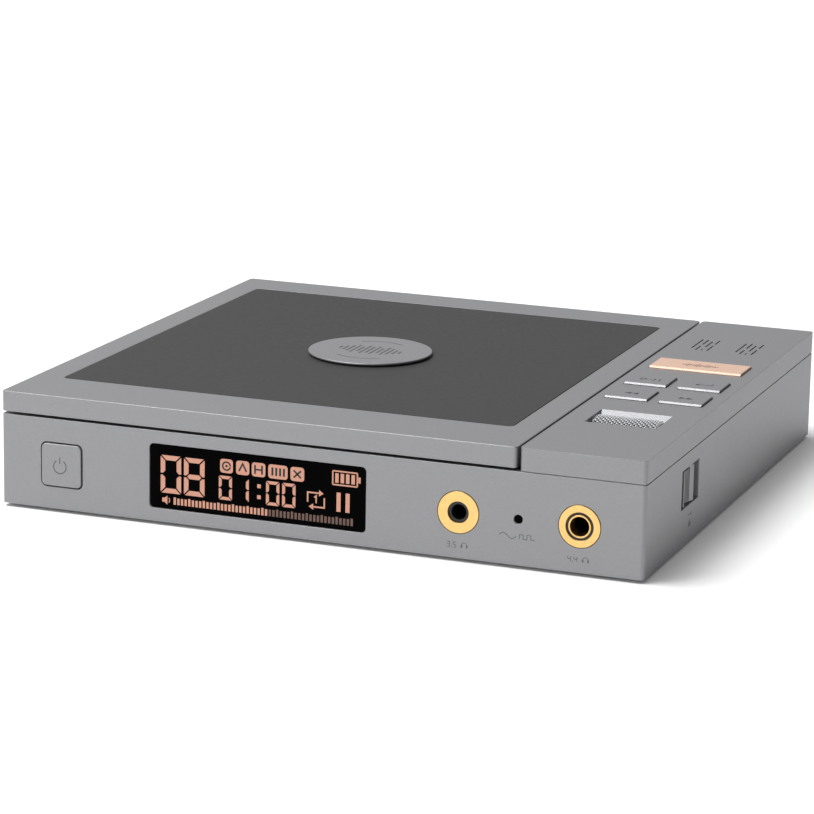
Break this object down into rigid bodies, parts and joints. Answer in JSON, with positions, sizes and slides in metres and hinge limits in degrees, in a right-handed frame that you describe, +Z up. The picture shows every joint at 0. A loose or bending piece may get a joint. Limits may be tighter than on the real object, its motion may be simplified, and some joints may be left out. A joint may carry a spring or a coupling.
{
  "type": "portable cd player",
  "caption": "Flat portable disc player: hinged square lid with inset dark panel, control strip with keys and volume wheel, front display, button and two headphone sockets.",
  "frame": {"origin": "on the table under the middle of the case, at the bottom of the rubber feet", "axes": "+Z up, front with the display faces -Y, +X to the right where the control panel is"},
  "size_m": [0.158, 0.1471, 0.029],
  "materials": {
    "case_metal": "bead-blasted grey",
    "plate_metal": "bead-blasted dark grey",
    "dark_steel": "black oxide",
    "steel": "bright",
    "rubber": "matt",
    "bay_plastic": "fine texture",
    "display_black": "polished",
    "pale_plastic": "natural",
    "board": "solder mask",
    "gold": "gold plated",
    "black_plastic": "moulded",
    "capacitor_metal": "satin",
    "battery_wrap": "shrink film",
    "connector_steel": "satin",
    "magnet_nickel": "nickel plated",
    "lid_dark": "satin smoked",
    "copper_key": "anodised peach",
    "wheel_metal": "knurled",
    "copper_wire": "enamelled copper",
    "lens_black": "moulded",
    "brass": "machined"
  },
  "bodies": {
    "case": {"main_case": "case_metal", "bottom_plate": "plate_metal", "bottom_screws": "dark_steel", "rubber_feet": "rubber", "disc_deck": "bay_plastic", "deck_screws": "dark_steel", "control_panel": "case_metal", "panel_screws": "dark_steel", "display_window": "display_black", "display_module": "pale_plastic", "front_board": "board", "jack_ring_35": "gold", "jack_body_35": "black_plastic", "jack_ring_44": "gold", "jack_sleeve_44": "gold", "jack_body_44": "black_plastic", "light_pipe": "display_black", "power_switch": "pale_plastic", "key_board": "board", "key_switches": "pale_plastic", "volume_encoder": "bay_plastic", "hold_switch_body": "bay_plastic", "main_board": "board", "board_chips": "black_plastic", "board_capacitors": "capacitor_metal", "board_screws": "steel", "battery_pack": "battery_wrap", "usb_port": "connector_steel", "mech_chassis": "steel", "damper_grommets": "rubber", "mech_screws": "steel", "motor_stator": "copper_wire", "guide_rods": "steel", "sled_motor": "steel", "gear_post": "steel", "hinge_brackets": "steel", "hinge_pins": "steel", "catch_magnets": "magnet_nickel", "lid_stops": "rubber"},
    "lid": {"lid_frame": "case_metal", "lid_panel": "lid_dark", "medallion": "case_metal", "lid_liner": "bay_plastic", "lid_magnets": "magnet_nickel"},
    "power_button": {"power_button": "case_metal"},
    "key_play": {"key_play": "case_metal"},
    "key_return": {"key_return": "case_metal"},
    "key_back": {"key_back": "case_metal"},
    "key_next": {"key_next": "case_metal"},
    "key_wide": {"key_wide": "copper_key"},
    "volume_wheel": {"volume_wheel": "wheel_metal"},
    "hold_slider": {"hold_slider": "case_metal"},
    "spindle": {"motor_rotor": "steel", "disc_hub": "bay_plastic", "chuck_balls": "steel"},
    "sled": {"pickup_sled": "bay_plastic", "sled_rack": "pale_plastic"},
    "lens": {"lens_holder": "lens_black"},
    "reduction_gear": {"reduction_gear": "pale_plastic"},
    "motor_pinion": {"motor_pinion": "brass"}
  },
  "joints": [
    {"name": "lid_hinge", "type": "hinge", "parent": "case", "child": "lid", "pos_m": [-0.015, 0.0719, 0.0246], "axis": [-1, 0, 0], "range_deg": [0, 78]},
    {"name": "power_button_press", "type": "slide", "parent": "case", "child": "power_button", "axis": [0, 1, 0], "range_m": [0, 0.0004], "stiffness_N_per_m": 1500},
    {"name": "key_play_press", "type": "slide", "parent": "case", "child": "key_play", "axis": [0, 0, -1], "range_m": [0, 0.0005], "stiffness_N_per_m": 1500},
    {"name": "key_return_press", "type": "slide", "parent": "case", "child": "key_return", "axis": [0, 0, -1], "range_m": [0, 0.0005], "stiffness_N_per_m": 1500},
    {"name": "key_back_press", "type": "slide", "parent": "case", "child": "key_back", "axis": [0, 0, -1], "range_m": [0, 0.0005], "stiffness_N_per_m": 1500},
    {"name": "key_next_press", "type": "slide", "parent": "case", "child": "key_next", "axis": [0, 0, -1], "range_m": [0, 0.0005], "stiffness_N_per_m": 1500},
    {"name": "key_wide_press", "type": "slide", "parent": "case", "child": "key_wide", "axis": [0, 0, -1], "range_m": [0, 0.0005], "stiffness_N_per_m": 1500},
    {"name": "volume_turn", "type": "hinge", "parent": "case", "child": "volume_wheel", "pos_m": [0.0638, -0.0389, 0.0216], "axis": [1, 0, 0], "continuous": true},
    {"name": "hold_slide", "type": "slide", "parent": "case", "child": "hold_slider", "axis": [0, 1, 0], "range_m": [0, 0.002]},
    {"name": "spindle_turn", "type": "hinge", "parent": "case", "child": "spindle", "pos_m": [-0.015, 0, 0.018], "axis": [0, 0, 1], "continuous": true},
    {"name": "sled_slide", "type": "slide", "parent": "case", "child": "sled", "axis": [0, 1, 0], "range_m": [-0.004, 0.03]},
    {"name": "lens_focus", "type": "slide", "parent": "sled", "child": "lens", "axis": [0, 0, 1], "range_m": [-0.0005, 0.0005], "stiffness_N_per_m": 200},
    {"name": "reduction_gear_turn", "type": "hinge", "parent": "case", "child": "reduction_gear", "pos_m": [0.017, 0.03, 0.0125], "axis": [0, 0, 1], "range_deg": [-580, 80]},
    {"name": "motor_pinion_turn", "type": "hinge", "parent": "case", "child": "motor_pinion", "pos_m": [0.02275, 0.02004, 0.011], "axis": [0, 0, 1], "range_deg": [-280, 2070]}
  ],
  "couplings": [
    {"joint": "reduction_gear_turn", "follows": "sled_slide", "rad_per_m": -333.33},
    {"joint": "motor_pinion_turn", "follows": "sled_slide", "rad_per_m": 1200}
  ]
}
